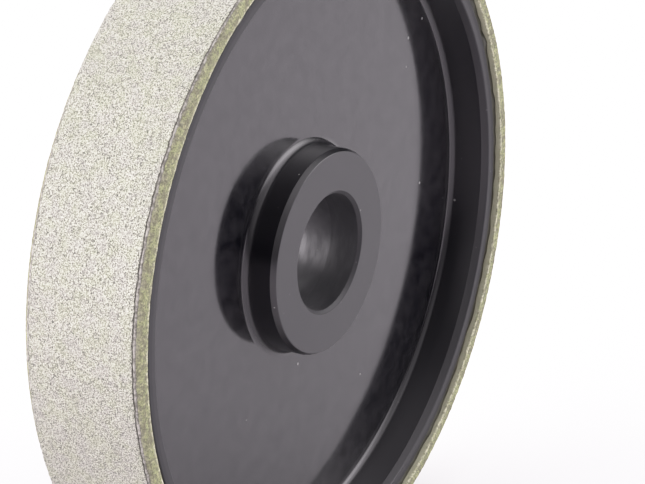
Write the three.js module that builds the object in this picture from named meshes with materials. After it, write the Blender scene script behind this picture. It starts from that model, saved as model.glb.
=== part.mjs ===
// A diamond grinding wheel for lapidary work: a bored plastic hub with a laminated band bonded round it.
// Millimetres, +Z up. The wheel turns about Y, its front faces -Y, and the origin is its centre.
import * as THREE from "three";

// Driving dimensions
const INCH = 25.4;
const WHEEL_RADIUS = 3 * INCH; // over the diamond coat
const HUB_WIDTH = INCH; // across the two rim faces
const BORE_RADIUS = INCH / 2;
const BAND_OVERHANG = 1; // how far the band stands proud of each rim face
const RECESS_DEPTH = 9; // rim face down to the web
const BOSS_RADIUS = 22.4;
const BOSS_SETBACK = 1.4; // boss face below the rim face

// Hub edges
const BORE_CHAMFER = 0.7;
const BOSS_BEVEL_WIDTH = 0.55; // measured along the radius
const BOSS_BEVEL_DEPTH = 1.2; // measured along the axis
const BOSS_FILLET = 1.8; // boss wall to web
const RIM_FILLET = 1.5; // web to rim wall
const RIM_FOOT_RADIUS = 67; // the rim wall leans outwards by its moulding draft
const RIM_WALL_TOP_RADIUS = 68;
const RIM_BEVEL_RADIUS = 68.6;
const RIM_BEVEL_DEPTH = 1.6;
const HUB_RADIUS = 71.2;

// Band layers, from the hub outwards
const LAYER_GAP = 0.1;
const BOND_THICKNESS = 1;
const BOND_SETBACK = 0.4; // the adhesive stops short of the rim face
const CARRIER_THICKNESS = 0.3;
const COAT_THICKNESS = 0.3;
const SHOULDER = 1.2; // 45 degree bevel across the band's outer corner

const FINISHES = {
  plastic: { color: 0x1b1a1e, roughness: 0.36, metalness: 0 },
  adhesive: { color: 0x2c2a24, roughness: 0.6, metalness: 0 },
  laminate: { color: 0xa9a47c, roughness: 0.75, metalness: 0 },
  foil: { color: 0xc2bfb4, roughness: 0.35, metalness: 0.9 },
  diamondPlating: { color: 0xd6d2c8, roughness: 0.6, metalness: 0.55 },
};

// Mesh resolution
const SIDES = 64;
const FILLET_STEPS = 4;

// Each flat of a faceted ring is tangent to the true circle, and one flat faces each of +-X and +-Z.
const HALF_STEP = Math.PI / SIDES;
const CORNER_SCALE = 1 / Math.cos(HALF_STEP);
const RIGHT_ANGLE = Math.PI / 2;

// Half widths, measured from the wheel's middle plane
const rimFace = HUB_WIDTH / 2;
const webFace = rimFace - RECESS_DEPTH;
const bossFace = rimFace - BOSS_SETBACK;
const bandFace = rimFace + BAND_OVERHANG;

// Radii of the band's layers
const shoulderStart = WHEEL_RADIUS - SHOULDER;
const bondInner = HUB_RADIUS + LAYER_GAP;
const bondOuter = bondInner + BOND_THICKNESS;
const coatInner = WHEEL_RADIUS - COAT_THICKNESS;
const carrierOuter = coatInner - LAYER_GAP;
const carrierInner = carrierOuter - CARRIER_THICKNESS;
const backingInner = bondOuter + LAYER_GAP;
const backingOuter = carrierInner - LAYER_GAP;

const point = (radius, height) => new THREE.Vector2(radius, height);

// Points of a quarter round that starts at angle `from`, about a centre.
function quarterRound(centreRadius, centreHeight, radius, from) {
  const points = [];
  for (let i = 0; i <= FILLET_STEPS; i++) {
    const angle = from + (RIGHT_ANGLE * i) / FILLET_STEPS;
    const across = centreRadius + radius * Math.cos(angle);
    points.push(point(across, centreHeight + radius * Math.sin(angle)));
  }
  return points;
}

// A solid of revolution, the same on both sides of the middle plane.
// `side` runs outwards along the +Y side, from the inner wall to the outer wall.
function symmetricRing(side) {
  const mirrored = side.map((p) => point(p.x, -p.y));
  const outline = [...mirrored, ...side.toReversed(), mirrored[0]];
  const scaled = outline.map((p) => point(p.x * CORNER_SCALE, p.y));
  return new THREE.LatheGeometry(scaled, SIDES, HALF_STEP);
}

function hubSide() {
  const bossFillet = quarterRound(
    BOSS_RADIUS + BOSS_FILLET,
    webFace + BOSS_FILLET,
    BOSS_FILLET,
    2 * RIGHT_ANGLE,
  );
  const rimFillet = quarterRound(
    RIM_FOOT_RADIUS - RIM_FILLET,
    webFace + RIM_FILLET,
    RIM_FILLET,
    -RIGHT_ANGLE,
  );
  return [
    point(BORE_RADIUS, bossFace - BORE_CHAMFER),
    point(BORE_RADIUS + BORE_CHAMFER, bossFace),
    point(BOSS_RADIUS - BOSS_BEVEL_WIDTH, bossFace),
    point(BOSS_RADIUS, bossFace - BOSS_BEVEL_DEPTH),
    ...bossFillet,
    ...rimFillet,
    point(RIM_WALL_TOP_RADIUS, rimFace - RIM_BEVEL_DEPTH),
    point(RIM_BEVEL_RADIUS, rimFace),
    point(HUB_RADIUS, rimFace),
  ];
}

function bondSide() {
  const face = rimFace - BOND_SETBACK;
  return [point(bondInner, face), point(bondOuter, face)];
}

// Half width of the band at a radius, where the shoulder has bevelled its corner away.
function shoulderHeight(radius) {
  return Math.min(bandFace, bandFace - (radius - shoulderStart));
}

// One layer of the band, whose edge follows the shoulder.
function bandSide(inner, outer) {
  const side = [point(inner, shoulderHeight(inner))];
  if (inner < shoulderStart) {
    side.push(point(shoulderStart, bandFace));
  }
  side.push(point(outer, shoulderHeight(outer)));
  return side;
}

function piece(name, side, finish) {
  const mesh = new THREE.Mesh(symmetricRing(side), new THREE.MeshStandardMaterial(finish));
  mesh.name = name;
  return mesh;
}

const wheel = new THREE.Group();
wheel.add(
  piece("hub", hubSide(), FINISHES.plastic),
  piece("bond_line", bondSide(), FINISHES.adhesive),
  piece("backing_band", bandSide(backingInner, backingOuter), FINISHES.laminate),
  piece("carrier_foil", bandSide(carrierInner, carrierOuter), FINISHES.foil),
  piece("diamond_coat", bandSide(coatInner, WHEEL_RADIUS), FINISHES.diamondPlating),
);

export default wheel;
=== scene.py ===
import math

import bpy
import numpy as np
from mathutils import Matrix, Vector


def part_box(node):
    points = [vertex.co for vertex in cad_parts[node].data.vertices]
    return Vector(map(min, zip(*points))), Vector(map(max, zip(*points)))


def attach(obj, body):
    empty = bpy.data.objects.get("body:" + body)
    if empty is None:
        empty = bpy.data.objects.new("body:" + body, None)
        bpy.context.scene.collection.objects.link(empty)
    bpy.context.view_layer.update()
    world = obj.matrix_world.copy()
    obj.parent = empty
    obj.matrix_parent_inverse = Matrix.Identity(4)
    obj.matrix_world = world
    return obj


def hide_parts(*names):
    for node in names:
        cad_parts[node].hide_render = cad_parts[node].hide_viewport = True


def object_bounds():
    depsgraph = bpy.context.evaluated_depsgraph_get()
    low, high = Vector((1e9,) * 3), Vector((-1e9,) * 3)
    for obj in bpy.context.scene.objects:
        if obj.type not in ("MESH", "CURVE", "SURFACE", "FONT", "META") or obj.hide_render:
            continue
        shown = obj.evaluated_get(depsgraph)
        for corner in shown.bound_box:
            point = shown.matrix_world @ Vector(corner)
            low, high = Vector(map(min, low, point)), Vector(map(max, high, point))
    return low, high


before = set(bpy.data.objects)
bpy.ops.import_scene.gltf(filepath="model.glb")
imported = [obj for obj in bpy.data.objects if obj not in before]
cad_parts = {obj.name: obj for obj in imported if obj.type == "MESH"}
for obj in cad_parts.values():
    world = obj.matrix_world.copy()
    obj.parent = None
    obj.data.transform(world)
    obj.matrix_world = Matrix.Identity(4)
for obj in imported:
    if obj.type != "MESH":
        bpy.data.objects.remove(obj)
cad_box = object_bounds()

# A diamond grinding wheel: metres, +Z up. It turns about Y and its front faces -Y.
MM = 0.001

# ---------------------------------------------------------------- sizes
# Outlines are written in millimetres as (radius, half width) and scaled once, when a ring is made.
WHEEL_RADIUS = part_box("diamond_coat")[1].z / MM
RIM_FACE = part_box("hub")[1].y / MM
BAND_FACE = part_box("backing_band")[1].y / MM
HUB_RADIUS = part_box("hub")[1].z / MM

RECESS_DEPTH = 9.0
WEB_FACE = RIM_FACE - RECESS_DEPTH
BOSS_SETBACK = 1.4
BOSS_FACE = RIM_FACE - BOSS_SETBACK
BORE_RADIUS = 12.7
BORE_BEVEL = 0.7
BOSS_RADIUS = 22.4
BOSS_BEVEL_WIDTH = 0.55
BOSS_BEVEL_DEPTH = 1.2
BOSS_FILLET = 1.8
RIM_FILLET = 1.5
RIM_FOOT_RADIUS = 67.0
RIM_WALL_TOP_RADIUS = 68.0
RIM_BEVEL_RADIUS = 68.6
RIM_BEVEL_DEPTH = 1.6
BOSS_ROUND = 0.25
RIM_ROUND = 0.4
FILLET_LEAD = 0.1

GLUE_SETBACK = 0.35
BAND_RADIUS = 72.6
BAND_EDGE_BREAK = 0.1
SHOULDER = 1.2
SHOULDER_WANDER = 0.45
SHOULDER_WANDER_TURN = math.radians(170)
LAMINATE_OUTER = 75.58
FOIL_INNER = 75.62
FOIL_OUTER = 75.86
COAT_INNER = 76.0

# The plain stretch of each wall round the wheel's middle plane, as half a width.
MIDDLE = 0.5
THIN_MIDDLE = 2.0

# Surface detail: how far the chips, grit and glue lumps reach, in millimetres of typical spread.
GLUE_LUMP = 0.14
CHIP_REACH = 0.3
CHIP_DEPTH = 0.35
CHIP_COARSE = 0.04
CHIP_FINE = 0.03
CUT_COARSE = 0.018
CUT_FINE = 0.022
CUT_SINK = 0.04
FOIL_NICK = 0.06
GRIT_COARSE = 0.012
GRIT_FINE = 0.014
GRIT_LIMIT = 0.05
GRIT_SINK = 0.03
GRIT_EDGE = 0.06

# How finely each ring is divided: sides round the axis, and the longest step along its outline.
HUB_GRID = (360, 4.0)
GLUE_GRID = (720, 0.4)
LAMINATE_GRID = (2000, 0.24)
FOIL_GRID = (1600, 0.8)
COAT_GRID = (1200, 0.42)

# ---------------------------------------------------------------- camera
CAMERA_AZIMUTH = math.radians(-59.02)
CAMERA_ELEVATION = math.radians(21.17)
CAMERA_DISTANCE = 0.661
CAMERA_LENS = 174.0
AIM_RIGHT = -0.00284
AIM_UP = 0.00254


def make_camera():
    """A long lens at the front left, aimed just beside the middle of the front rim face."""
    level = math.cos(CAMERA_ELEVATION)
    back = Vector((
        math.sin(CAMERA_AZIMUTH) * level,
        -math.cos(CAMERA_AZIMUTH) * level,
        math.sin(CAMERA_ELEVATION),
    ))
    right = Vector((math.cos(CAMERA_AZIMUTH), math.sin(CAMERA_AZIMUTH), 0))
    up = back.cross(right)
    data = bpy.data.cameras.new("camera")
    data.lens = CAMERA_LENS
    data.sensor_width = 36.0
    data.clip_start = 0.01
    camera = bpy.data.objects.new("camera", data)
    bpy.context.scene.collection.objects.link(camera)
    aim = Vector((0, -RIM_FACE * MM, 0)) + right * AIM_RIGHT + up * AIM_UP
    camera.location = aim + back * CAMERA_DISTANCE
    camera.rotation_mode = "QUATERNION"
    camera.rotation_quaternion = (-back).to_track_quat("-Z", "Y")
    bpy.context.scene.camera = camera


# ---------------------------------------------------------------- node helpers
class Shader:
    """A material and short ways to add nodes to it."""

    def __init__(self, name):
        self.material = bpy.data.materials.new(name)
        self.material.use_nodes = True
        self.nodes = self.material.node_tree.nodes
        self.links = self.material.node_tree.links
        self.surface = self.nodes["Principled BSDF"]
        self.position = self.add("ShaderNodeTexCoord").outputs["Object"]

    def add(self, kind, **settings):
        node = self.nodes.new(kind)
        for key, value in settings.items():
            setattr(node, key, value)
        return node

    def plug(self, value, socket):
        """Links an output to a socket, or sets the socket's own value."""
        if isinstance(value, bpy.types.NodeSocket):
            self.links.new(value, socket)
        else:
            socket.default_value = value

    def math(self, operation, *values):
        node = self.add("ShaderNodeMath", operation=operation)
        for value, socket in zip(values, node.inputs):
            self.plug(value, socket)
        return node.outputs[0]

    def opposite(self, mask):
        return self.math("SUBTRACT", 1.0, mask)

    def added(self, value, mask, amount):
        """value, with amount more of it where the mask is 1."""
        return self.math("ADD", value, self.math("MULTIPLY", mask, amount))

    def noise(self, scale, detail=4.0, roughness=0.55, vector=None):
        node = self.add("ShaderNodeTexNoise")
        self.plug(self.position if vector is None else vector, node.inputs["Vector"])
        node.inputs["Scale"].default_value = scale
        node.inputs["Detail"].default_value = detail
        node.inputs["Roughness"].default_value = roughness
        return node.outputs["Fac"]

    def cells(self, scale):
        """Rounded cells, with the distance from each middle and three random numbers for each."""
        node = self.add("ShaderNodeTexVoronoi", feature="F1")
        self.plug(self.position, node.inputs["Vector"])
        node.inputs["Scale"].default_value = scale
        chances = self.add("ShaderNodeSeparateColor")
        self.plug(node.outputs["Color"], chances.inputs[0])
        return node.outputs["Distance"], chances.outputs

    def specks(self, scale, rarity, reach):
        """A few small round spots: one in each cell whose random number is above rarity."""
        distance, chances = self.cells(scale)
        size = self.math("MULTIPLY", self.math("SUBTRACT", chances[0], rarity), reach)
        return self.math("LESS_THAN", distance, size)

    def ramp(self, value, low, high, out_low=0.0, out_high=1.0):
        node = self.add("ShaderNodeMapRange", interpolation_type="SMOOTHSTEP")
        for socket, setting in zip(node.inputs, (value, low, high, out_low, out_high)):
            self.plug(setting, socket)
        return node.outputs[0]

    def rise(self, value, start, end):
        """A mask that goes from 0 to 1 between two distances in millimetres."""
        return self.ramp(value, start * MM, end * MM)

    def fall(self, value, start, end, full=1.0):
        """A mask that goes from full to 0 between two distances in millimetres."""
        return self.ramp(value, start * MM, end * MM, full, 0.0)

    def ragged(self, value, noise, amount):
        """A distance that strays by up to half of amount millimetres either way."""
        return self.added(value, self.math("SUBTRACT", noise, 0.5), amount * MM)

    def mix(self, factor, first, second):
        node = self.add("ShaderNodeMix", data_type="RGBA")
        self.plug(factor, node.inputs[0])
        for value, socket in ((first, node.inputs[6]), (second, node.inputs[7])):
            self.plug((*value, 1.0) if isinstance(value, tuple) else value, socket)
        return node.outputs[2]

    def bump(self, height, strength, distance, below=None):
        node = self.add("ShaderNodeBump")
        self.plug(strength, node.inputs["Strength"])
        node.inputs["Distance"].default_value = distance
        self.plug(height, node.inputs["Height"])
        if below is not None:
            self.plug(below, node.inputs["Normal"])
        return node.outputs["Normal"]

    def radius(self):
        """Distance from the wheel's axis, and position along it."""
        split = self.add("ShaderNodeSeparateXYZ")
        self.plug(self.position, split.inputs[0])
        x, y, z = split.outputs
        flat = self.math("ADD", self.math("MULTIPLY", x, x), self.math("MULTIPLY", z, z))
        return self.math("SQRT", flat), y

    def finish(self, **settings):
        """Sets the surface's sockets, whose names are written with _ for a space."""
        for key, value in settings.items():
            socket = self.surface.inputs[key.replace("_", " ")]
            if key == "Base_Color" and isinstance(value, tuple):
                value = (*value, 1.0)
            self.plug(value, socket)
        return self.material


# ---------------------------------------------------------------- materials
# Colours are linear red, green and blue.
PLASTIC_DEEP = (0.0013, 0.0013, 0.0028)
PLASTIC_LIFTED = (0.0023, 0.0023, 0.0046)
PLASTIC_HAZE = (0.0155, 0.0146, 0.0172)
PLASTIC_SHEEN = (1.0, 0.94, 1.0, 1.0)
LINT = (0.055, 0.052, 0.055)
DUST = (0.30, 0.29, 0.29)
SMEAR_RADIUS = 70.3

GLUE_DARK = (0.018, 0.016, 0.012)
GLUE_LIGHT = (0.06, 0.055, 0.04)

RESIN_OLIVE = (0.215, 0.200, 0.130)
RESIN_GREEN = (0.335, 0.345, 0.180)
RESIN_SHADED = (0.105, 0.098, 0.062)
RESIN_CRUMB = (0.50, 0.48, 0.29)
BEVEL_DARK = (0.130, 0.116, 0.094)
BEVEL_TAN = (0.31, 0.286, 0.228)
BORDER_DARK = (0.30, 0.285, 0.20)
BORDER_PALE = (0.66, 0.63, 0.49)
BORDER_WIDTH = 0.8
INNER_WALL = (0.42, 0.40, 0.30)

FOIL_DARK = (0.19, 0.172, 0.155)
FOIL_LIGHT = (0.42, 0.388, 0.366)

PLATING_DARK = (0.045, 0.041, 0.035)
PLATING_LIGHT = (0.535, 0.513, 0.452)
PLATING_GRAIN = (0.545, 0.524, 0.460)
PLATING_PIT = (0.053, 0.050, 0.046)
PLATING_DRIFT = (0.245, 0.238, 0.214)
PLATING_GREENISH = (0.34, 0.35, 0.24)
PLATING_PINKISH = (0.36, 0.325, 0.34)
# Painted shade for the gap between the foil and the coat's cut edge.
PLATING_GAP_SHADE = (0.050, 0.042, 0.034)
GRAIN_SCALE = 3600

FLOOR_DARK = (0.69, 0.66, 0.695)
FLOOR_LIGHT = (0.71, 0.68, 0.715)


def black_plastic():
    """Black plastic: glossy where moulded, satin where turned, with faint marks and a little dust."""
    s = Shader("black_plastic")
    radius, along = s.radius()
    depth = s.math("ABSOLUTE", along)
    mottle = s.noise(70, detail=3.0)

    # Masks of the zones. The walls are what lies between the web and the turned faces.
    web = s.fall(depth, WEB_FACE + 0.05, WEB_FACE + 0.4)
    turned = s.rise(depth, BOSS_FACE - 0.1, BOSS_FACE - 0.05)
    walls = s.math("MULTIPLY", s.opposite(web), s.opposite(turned))
    rim = s.rise(radius, RIM_BEVEL_RADIUS - 0.2, RIM_BEVEL_RADIUS)
    frayed = s.added(radius, mottle, 0.8 * MM)
    smeared = s.rise(frayed, SMEAR_RADIUS - 0.3, SMEAR_RADIUS + 0.3)
    bore = s.fall(radius, BORE_RADIUS + 0.05, BORE_RADIUS + 0.1)
    mouth_radius = BORE_RADIUS + BORE_BEVEL
    mouth = s.math("SUBTRACT", s.fall(radius, mouth_radius, mouth_radius + 0.1), bore)

    haze = s.ramp(s.noise(280, detail=4.0, roughness=0.6), 0.30, 0.72)
    dust = s.specks(150, 0.2, 0.070)
    lint = s.specks(430, 0.72, 0.40)
    colour = s.mix(mottle, PLASTIC_DEEP, PLASTIC_LIFTED)
    colour = s.mix(s.math("MULTIPLY", haze, web), colour, PLASTIC_HAZE)
    colour = s.mix(s.math("MULTIPLY", lint, 0.6), colour, LINT)
    colour = s.mix(s.math("MULTIPLY", dust, 0.75), colour, DUST)

    wound = s.add("ShaderNodeMapping", vector_type="POINT")
    s.plug(s.position, wound.inputs[0])
    wound.inputs["Scale"].default_value = (0.3, 1.0, 0.3)
    scored = s.noise(330, detail=4.0, roughness=0.6, vector=wound.outputs[0])
    rough = s.ramp(s.noise(24, detail=5.0, roughness=0.65), 0.3, 0.7, 0.085, 0.125)
    rough = s.added(rough, turned, 0.30)
    rough = s.added(rough, rim, 0.12)
    rough = s.added(rough, smeared, 0.11)
    rough = s.added(rough, walls, 0.20)
    rough = s.added(rough, bore, s.ramp(scored, 0.35, 0.65, 0.22, 0.42))
    rough = s.added(rough, mouth, 0.30)
    rough = s.added(rough, dust, 0.4)

    profile = s.add("ShaderNodeCombineXYZ")
    s.plug(radius, profile.inputs[0])
    s.plug(s.math("MULTIPLY", along, 0.6), profile.inputs[1])
    marks = s.noise(5200, detail=2.0, vector=profile.outputs[0])
    marked = s.added(0.01, turned, 0.05)
    relief = s.bump(s.noise(2600, detail=2.0), 0.03, 0.0001)
    relief = s.bump(marks, marked, 0.0001, relief)
    return s.finish(
        Base_Color=colour, Roughness=rough, IOR=1.63, Specular_Tint=PLASTIC_SHEEN, Normal=relief
    )


def adhesive():
    """Dark cured glue, lumpy and slightly glossy."""
    s = Shader("cured_adhesive")
    clots = s.noise(900, detail=4.0)
    colour = s.mix(clots, GLUE_DARK, GLUE_LIGHT)
    return s.finish(Base_Color=colour, Roughness=0.45, Normal=s.bump(clots, 0.5, 0.0002))


def laminate():
    """The dressed edge of a yellow-green laminate: granular, tan on its bevel, pale at its inner edge."""
    s = Shader("cut_laminate")
    radius, along = s.radius()
    grain = s.noise(2500, detail=3.0, roughness=0.65)
    crumb = s.noise(1500, detail=2.0)
    strayed = s.ragged(radius, crumb, 0.9)

    colour = s.mix(s.ramp(s.noise(600, detail=4.0), 0.40, 0.60), RESIN_OLIVE, RESIN_GREEN)
    colour = s.mix(s.ramp(grain, 0.3, 0.62), RESIN_SHADED, colour)
    colour = s.mix(s.ramp(crumb, 0.56, 0.70, 0.0, 0.7), colour, RESIN_CRUMB)

    bevel_start = WHEEL_RADIUS - SHOULDER
    worn = s.ramp(s.noise(520, detail=3.0), 0.40, 0.60, 0.15, 0.75)
    bevel = s.math("MULTIPLY", s.rise(strayed, bevel_start - 0.3, bevel_start + 0.6), worn)
    colour = s.mix(bevel, colour, s.mix(s.ramp(grain, 0.3, 0.65), BEVEL_DARK, BEVEL_TAN))

    broken = s.ramp(s.noise(820, detail=3.0), 0.42, 0.55, 0.25, 1.0)
    border = s.fall(strayed, BAND_RADIUS + 0.1, BAND_RADIUS + BORDER_WIDTH)
    pale = s.mix(s.ramp(grain, 0.3, 0.65), BORDER_DARK, BORDER_PALE)
    colour = s.mix(s.math("MULTIPLY", border, broken), colour, pale)

    below_face = s.fall(s.math("ABSOLUTE", along), BAND_FACE - 0.5, BAND_FACE - 0.1, 0.9)
    on_wall = s.fall(radius, BAND_RADIUS + 0.15, BAND_RADIUS + 0.3)
    colour = s.mix(s.math("MULTIPLY", below_face, on_wall), colour, INNER_WALL)
    return s.finish(Base_Color=colour, Roughness=0.62, Normal=s.bump(grain, 0.5, 0.0002))


def foil_metal():
    """The cut edge of the thin carrier strip, dull with brighter scuffs."""
    s = Shader("carrier_metal")
    scuffs = s.noise(1500, detail=3.0)
    colour = s.mix(s.ramp(scuffs, 0.40, 0.60), FOIL_DARK, FOIL_LIGHT)
    return s.finish(
        Base_Color=colour, Metallic=0.15, Roughness=0.55, Normal=s.bump(scuffs, 0.3, 0.0002)
    )


def diamond_plating():
    """Metal plating packed with fine grit: dark pits between pale grains."""
    s = Shader("diamond_plating")
    grain_height, grain_shades = s.cells(GRAIN_SCALE)
    speckle = s.noise(3500, detail=2.0, roughness=0.7)
    pits = s.noise(2100, detail=2.0)
    tint = s.noise(300, detail=2.0)
    colour = s.mix(s.ramp(speckle, 0.34, 0.61), PLATING_DARK, PLATING_LIGHT)
    colour = s.mix(s.math("MULTIPLY", grain_shades[0], 0.26), colour, PLATING_GRAIN)
    colour = s.mix(s.ramp(pits, 0.32, 0.44, 0.6, 0.0), colour, PLATING_PIT)
    colour = s.mix(s.ramp(s.noise(90, detail=3.0), 0.3, 0.7, 0.0, 0.10), colour, PLATING_DRIFT)
    colour = s.mix(s.ramp(tint, 0.36, 0.50, 0.22, 0.0), colour, PLATING_GREENISH)
    colour = s.mix(s.ramp(tint, 0.50, 0.64, 0.0, 0.22), colour, PLATING_PINKISH)

    # Painted shade: the coat's cut edge on the shoulder, beside the gap to the foil, is painted near
    # black as that gap's shade.
    radius, _ = s.radius()
    cut = s.fall(s.ragged(radius, pits, 0.12), WHEEL_RADIUS - 0.16, WHEEL_RADIUS - 0.11)
    colour = s.mix(s.math("MULTIPLY", cut, 0.88), colour, PLATING_GAP_SHADE)
    relief = s.bump(grain_height, 0.6, 0.0002)
    relief = s.bump(speckle, 0.5, 0.0002, relief)
    rough = s.ramp(grain_shades[1], 0.0, 1.0, 0.40, 0.62)
    return s.finish(Base_Color=colour, Metallic=0.45, Roughness=rough, Normal=relief)


def floor_white():
    """A pale floor, very slightly lilac."""
    s = Shader("pale_floor")
    colour = s.mix(s.noise(6, detail=2.0), FLOOR_DARK, FLOOR_LIGHT)
    return s.finish(Base_Color=colour, Roughness=0.8)


# ---------------------------------------------------------------- mesh helpers
def rounded(outline, radius, steps=4):
    """Replaces each inner corner of an open outline with a small arc, with support points beside it."""
    support = 0.05
    longest_cut = 0.45
    points = [Vector(p) for p in outline]
    made = [points[0]]
    for before, corner, after in zip(points, points[1:], points[2:]):
        into, out = before - corner, after - corner
        turn = into.angle(out)
        cut = min(radius / math.tan(turn / 2), into.length * longest_cut, out.length * longest_cut)
        start, end = corner + into.normalized() * cut, corner + out.normalized() * cut
        made.append(start + into.normalized() * min(support, cut))
        for i in range(steps + 1):
            t = i / steps
            made.append(start * (1 - t) ** 2 + corner * 2 * t * (1 - t) + end * t ** 2)
        made.append(end + out.normalized() * min(support, cut))
    made.append(points[-1])
    return [(p.x, p.y) for p in made]


def quarter_round(radius, centre_radius, centre_height, start, steps=10):
    """Points of a quarter circle, from angle start, with the wheel's outline as (radius, height)."""
    angles = [start + math.pi / 2 * i / steps for i in range(steps + 1)]
    return [
        (centre_radius + radius * math.cos(a), centre_height + radius * math.sin(a))
        for a in angles
    ]


def subdivided(outline, step):
    """Adds points so that no stretch of the outline is longer than step."""
    made = [outline[0]]
    for (r0, h0), (r1, h1) in zip(outline, outline[1:]):
        parts = max(1, math.ceil(math.hypot(r1 - r0, h1 - h0) / step))
        made += [(r0 + (r1 - r0) * i / parts, h0 + (h1 - h0) * i / parts) for i in range(1, parts + 1)]
    return made


def both_sides(side):
    """A closed outline from its back half, which runs outwards from the inner wall to the outer wall."""
    return [(r, -h) for r, h in side] + [(r, h) for r, h in reversed(side)]


def placed(name, places, faces):
    """A new object in the scene, from points and faces."""
    mesh = bpy.data.meshes.new(name)
    mesh.from_pydata(places, [], faces)
    piece = bpy.data.objects.new(name, mesh)
    bpy.context.scene.collection.objects.link(piece)
    return piece


def ring(name, outline, sides, shift=None):
    """A solid of revolution about Y. shift takes the grid's radii and heights and returns new ones."""
    radii, heights = np.array(outline).T
    count = len(outline)
    radii = np.tile(radii, (sides, 1))
    heights = np.tile(heights, (sides, 1))
    if shift:
        radii, heights = shift(radii, heights)
    angles = (np.arange(sides) * math.tau / sides)[:, None]
    places = np.stack([radii * np.cos(angles), heights, radii * np.sin(angles)], axis=2)
    index = np.arange(sides * count).reshape(sides, count)
    beside = np.roll(index, -1, axis=0)
    quads = np.stack(
        [index, np.roll(index, -1, axis=1), np.roll(beside, -1, axis=1), beside], axis=2
    )
    piece = placed(name, (places.reshape(-1, 3) * MM).tolist(), quads.reshape(-1, 4).tolist())
    piece.data.polygons.foreach_set("use_smooth", [True] * len(piece.data.polygons))
    piece.data.update()
    return piece


def lumps(seed, shape, size):
    """A random field of unit spread that closes on itself; size is a lump's width in samples."""
    white = np.random.default_rng(seed).standard_normal(shape)
    around = np.fft.fftfreq(shape[0])[:, None]
    across = np.fft.fftfreq(shape[1])[None, :]
    smooth = np.exp(-((around ** 2 + across ** 2) * (size * 2.5) ** 2))
    field = np.fft.ifft2(np.fft.fft2(white) * smooth).real
    return field / field.std()


def shoulder_height(radius):
    """Half width of the band at a radius, where its outer corner is bevelled."""
    return min(BAND_FACE, BAND_FACE - (radius - (WHEEL_RADIUS - SHOULDER)))


def wandering(radii, heights):
    """How far the bevel's foot strays along the axis, as it was dressed by hand."""
    angles = (np.arange(len(radii)) * math.tau / len(radii))[:, None]
    sway = SHOULDER_WANDER * np.cos(3 * (angles - SHOULDER_WANDER_TURN))
    along_bevel = np.clip((radii - (WHEEL_RADIUS - SHOULDER)) / SHOULDER, 0, 1)
    shoulder_span = BAND_FACE - SHOULDER - THIN_MIDDLE
    near_face = np.clip((np.abs(heights) - THIN_MIDDLE) / shoulder_span, 0, 1)
    return -np.sign(heights) * sway * along_bevel * near_face


# ---------------------------------------------------------------- pieces
def make_hub():
    """The moulding: a bored boss, a web and a rim, the same on both sides."""
    boss_foot = quarter_round(
        BOSS_FILLET, BOSS_RADIUS + BOSS_FILLET, WEB_FACE + BOSS_FILLET, math.pi
    )
    rim_foot = quarter_round(
        RIM_FILLET, RIM_FOOT_RADIUS - RIM_FILLET, WEB_FACE + RIM_FILLET, -math.pi / 2
    )
    boss = [
        (BORE_RADIUS, MIDDLE),
        (BORE_RADIUS, BOSS_FACE - BORE_BEVEL),
        (BORE_RADIUS + BORE_BEVEL, BOSS_FACE),
        (BOSS_RADIUS - BOSS_BEVEL_WIDTH, BOSS_FACE),
        (BOSS_RADIUS, BOSS_FACE - BOSS_BEVEL_DEPTH),
        (BOSS_RADIUS, WEB_FACE + BOSS_FILLET + FILLET_LEAD),
    ]
    web = [
        (BOSS_RADIUS + BOSS_FILLET + FILLET_LEAD, WEB_FACE),
        (RIM_FOOT_RADIUS - RIM_FILLET - FILLET_LEAD, WEB_FACE),
    ]
    rim = [
        (RIM_FOOT_RADIUS, WEB_FACE + RIM_FILLET + FILLET_LEAD),
        (RIM_WALL_TOP_RADIUS, RIM_FACE - RIM_BEVEL_DEPTH),
        (RIM_BEVEL_RADIUS, RIM_FACE),
        (HUB_RADIUS, RIM_FACE),
        (HUB_RADIUS, MIDDLE),
    ]
    sides, step = HUB_GRID
    side = rounded(boss, BOSS_ROUND) + boss_foot + web + rim_foot + rounded(rim, RIM_ROUND)
    return ring("hub_moulding", both_sides(subdivided(side, step)), sides)


def make_bond():
    """The glue between hub and band, with a lumpy bead where it shows."""
    face = RIM_FACE - GLUE_SETBACK
    walls = [(HUB_RADIUS, MIDDLE), (HUB_RADIUS, face), (BAND_RADIUS, face), (BAND_RADIUS, MIDDLE)]
    sides, step = GLUE_GRID

    def sag(radii, heights):
        bead = lumps(11, radii.shape, 3)
        near_face = np.abs(heights) > face - 0.2
        return radii, heights + np.sign(heights) * near_face * GLUE_LUMP * bead

    return ring("glue_bead", both_sides(subdivided(walls, step)), sides, sag)


def make_laminate():
    """The band, chipped at its inner edge and granular on its cut face."""
    face = [
        (BAND_RADIUS, BAND_FACE - 1.4),
        (BAND_RADIUS, BAND_FACE - BAND_EDGE_BREAK),
        (BAND_RADIUS + BAND_EDGE_BREAK, BAND_FACE),
        (WHEEL_RADIUS - SHOULDER, BAND_FACE),
        (LAMINATE_OUTER, shoulder_height(LAMINATE_OUTER)),
    ]
    sides, step = LAMINATE_GRID
    side = [(BAND_RADIUS, THIN_MIDDLE)] + subdivided(face, step) + [(LAMINATE_OUTER, THIN_MIDDLE)]

    def chip(radii, heights):
        coarse, fine = lumps(21, radii.shape, 2.6), lumps(22, radii.shape, 1)
        near_wall = np.exp(-(((radii - BAND_RADIUS) / CHIP_REACH) ** 2))
        inner = near_wall * (np.abs(heights) > BAND_FACE - CHIP_DEPTH)
        at_face = np.abs(heights) > BAND_FACE - SHOULDER - 0.1
        step = wandering(radii, heights)
        radii = radii + inner * (CHIP_COARSE * coarse + CHIP_FINE * fine)
        lift = at_face * (CUT_COARSE * coarse + CUT_FINE * fine - CUT_SINK)
        lift = lift + inner * CHIP_FINE * coarse
        return radii, heights + step + np.sign(heights) * lift

    return ring("laminate_band", both_sides(side), sides, chip)


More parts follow.
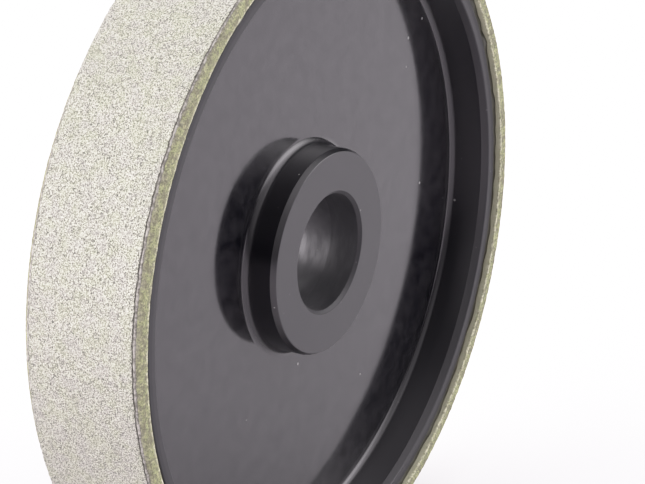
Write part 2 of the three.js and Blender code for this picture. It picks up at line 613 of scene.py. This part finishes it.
def make_foil():
    """The thin strip between band and coat, nicked along its edges."""
    walls = [
        (FOIL_INNER, THIN_MIDDLE),
        (FOIL_INNER, shoulder_height(FOIL_INNER)),
        (FOIL_OUTER, shoulder_height(FOIL_OUTER)),
        (FOIL_OUTER, THIN_MIDDLE),
    ]
    sides, step = FOIL_GRID

    def nick(radii, heights):
        at_edge = np.abs(heights) > shoulder_height(FOIL_OUTER) - 0.5
        step = wandering(radii, heights)
        nicks = FOIL_NICK * lumps(31, radii.shape, 2)
        return radii, heights + step + np.sign(heights) * at_edge * nicks

    return ring("carrier_edge", both_sides(subdivided(walls, step)), sides, nick)


def make_coat():
    """The plated tread, rough all over and ragged at its edges."""
    tread_edge = shoulder_height(WHEEL_RADIUS)
    tread = [
        (WHEEL_RADIUS - 0.04, tread_edge + 0.05),
        (WHEEL_RADIUS, tread_edge - 0.1),
        (WHEEL_RADIUS, 0.2),
    ]
    sides, step = COAT_GRID
    inner_wall = [(COAT_INNER, THIN_MIDDLE), (COAT_INNER, shoulder_height(COAT_INNER))]

    def grit(radii, heights):
        outside = radii > WHEEL_RADIUS - 0.1
        at_edge = np.abs(heights) > tread_edge - 0.2
        coarse, fine = lumps(41, radii.shape, 1.6), lumps(42, radii.shape, 1)
        lift = np.clip(GRIT_COARSE * coarse + GRIT_FINE * fine, -GRIT_LIMIT, GRIT_LIMIT)
        step = wandering(radii, heights)
        spread = outside * 0.2 * lift + at_edge * GRIT_EDGE * coarse
        return radii + outside * (lift - GRIT_SINK), heights + step + np.sign(heights) * spread

    return ring("diamond_tread", both_sides(inner_wall + subdivided(tread, step)), sides, grit)


# ---------------------------------------------------------------- studio
FLOOR_REACH = 4.0
FLOOR_STEPS = 24
FLOOR_GAP = 0.0002

# The studio is a white tent, dark at the horizon and brighter overhead, with soft bright areas.
# SKY_TOP is the height, as a sine, at which the tent reaches SKY_LIGHT.
SKY_LIGHT = 0.75
SKY_TOP = 0.6
# Each glow is a name, a direction, how far it spreads in degrees, and its strength at the middle.
GLOWS = (
    ("left", (-0.85, 0.48, 0.22), 45, 6.1),
    ("front_right", (0.62, -0.70, 0.35), 30, 3.7),
    ("front_right_high", (0.50, -0.55, 0.67), 35, 1.7),
    ("right_high", (0.80, -0.09, 0.59), 30, 0.8),
    ("overhead", (0.0, 0.0, 1.0), 45, 1.05),
    ("back_right", (0.60, 0.70, 0.40), 45, 2.8),
)
KEY_PLACE = (0.39, -0.55, 0.59)
KEY_AIM = (0.25, -0.25, -0.076)
KEY_SIZE = 0.5
KEY_POWER = 0.3


def make_stage():
    """A wide pale floor under the tread."""
    level = cad_box[0].z - FLOOR_GAP
    across = np.linspace(-FLOOR_REACH, FLOOR_REACH, FLOOR_STEPS + 1)
    places = [(x, y, level) for y in across for x in across]
    row = FLOOR_STEPS + 1
    quads = [
        (j * row + i, j * row + i + 1, (j + 1) * row + i + 1, (j + 1) * row + i)
        for j in range(FLOOR_STEPS)
        for i in range(FLOOR_STEPS)
    ]
    floor = placed("floor", places, quads)
    floor.data.materials.append(floor_white())


def make_sky():
    """The white tent: brightness by direction only."""
    world = bpy.data.worlds.new("studio")
    world.use_nodes = True
    nodes, links = world.node_tree.nodes, world.node_tree.links
    direction = nodes.new("ShaderNodeTexCoord").outputs["Generated"]

    def swell(value, low, high, peak):
        """Brightness that goes from nothing at low to its peak at high."""
        node = nodes.new("ShaderNodeMapRange")
        node.interpolation_type = "SMOOTHSTEP"
        links.new(value, node.inputs[0])
        for socket, setting in zip(node.inputs[1:], (low, high, 0.0, peak)):
            socket.default_value = setting
        return node.outputs[0]

    split = nodes.new("ShaderNodeSeparateXYZ")
    links.new(direction, split.inputs[0])
    total = swell(split.outputs[2], 0.0, SKY_TOP, SKY_LIGHT)
    for name, toward, spread, strength in GLOWS:
        nearness = nodes.new("ShaderNodeVectorMath")
        nearness.name = name
        nearness.operation = "DOT_PRODUCT"
        links.new(direction, nearness.inputs[0])
        nearness.inputs[1].default_value = Vector(toward).normalized()
        glow = swell(nearness.outputs["Value"], math.cos(math.radians(spread)), 1.0, strength)
        both = nodes.new("ShaderNodeMath")
        links.new(total, both.inputs[0])
        links.new(glow, both.inputs[1])
        total = both.outputs[0]
    links.new(total, nodes["Background"].inputs[1])
    nodes["Background"].inputs[0].default_value = (1.0, 1.0, 1.0, 1.0)
    bpy.context.scene.world = world


def make_key():
    """A faint square soft panel at the front right, turned towards the floor."""
    data = bpy.data.lights.new("key_panel", "AREA")
    data.shape = "SQUARE"
    data.size = KEY_SIZE
    data.energy = KEY_POWER
    lamp = bpy.data.objects.new("key_panel", data)
    bpy.context.scene.collection.objects.link(lamp)
    lamp.location = KEY_PLACE
    lamp.rotation_mode = "QUATERNION"
    lamp.rotation_quaternion = (Vector(KEY_AIM) - Vector(KEY_PLACE)).to_track_quat("-Z", "Y")
    lamp.visible_camera = False


# The camera's tone curve is straight up to TONE_SHOULDER, then rolls off to white at TONE_WHITE.
# It passes through a point at each of TONE_STOPS, and the straight ones are joined by lines.
TONE_SHOULDER = 0.6
TONE_WHITE = 1.5
TONE_STOPS = (0.2, 0.4, 0.6, 0.7, 0.8, 0.9, 1.0, 1.15, 1.3)


def make_tone():
    """Sets the picture's tone curve. Its points hold light and shown brightness."""
    view = bpy.context.scene.view_settings
    view.view_transform = "Standard"
    view.use_curve_mapping = True
    view.curve_mapping.extend = "HORIZONTAL"
    view.curve_mapping.white_level = (TONE_WHITE, TONE_WHITE, TONE_WHITE)
    points = view.curve_mapping.curves[3].points
    span = TONE_WHITE - TONE_SHOULDER
    room = 1.0 - TONE_SHOULDER
    for light in TONE_STOPS:
        left = min(1.0, (TONE_WHITE - light) / span)
        points.new(light / TONE_WHITE, min(light, 1.0 - room * left ** (span / room)))
    points[0].location = (0.0, 0.0)
    points[len(points) - 1].location = (1.0, 1.0)
    for point in points[:4]:
        point.handle_type = "VECTOR"
    view.curve_mapping.update()


# ---------------------------------------------------------------- assembly
# Each piece is its maker, its material, the node it replaces and its slot.
PIECES = (
    (make_hub, black_plastic, "hub", "hub_plastic"),
    (make_bond, adhesive, "bond_line", "adhesive"),
    (make_laminate, laminate, "backing_band", "laminate"),
    (make_foil, foil_metal, "carrier_foil", "foil"),
    (make_coat, diamond_plating, "diamond_coat", "diamond_plating"),
)

make_camera()
make_tone()
make_stage()
make_sky()
make_key()
for make, material, node, slot in PIECES:
    piece = make()
    piece.data.materials.append(material())
    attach(piece, "root")
    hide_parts(node)
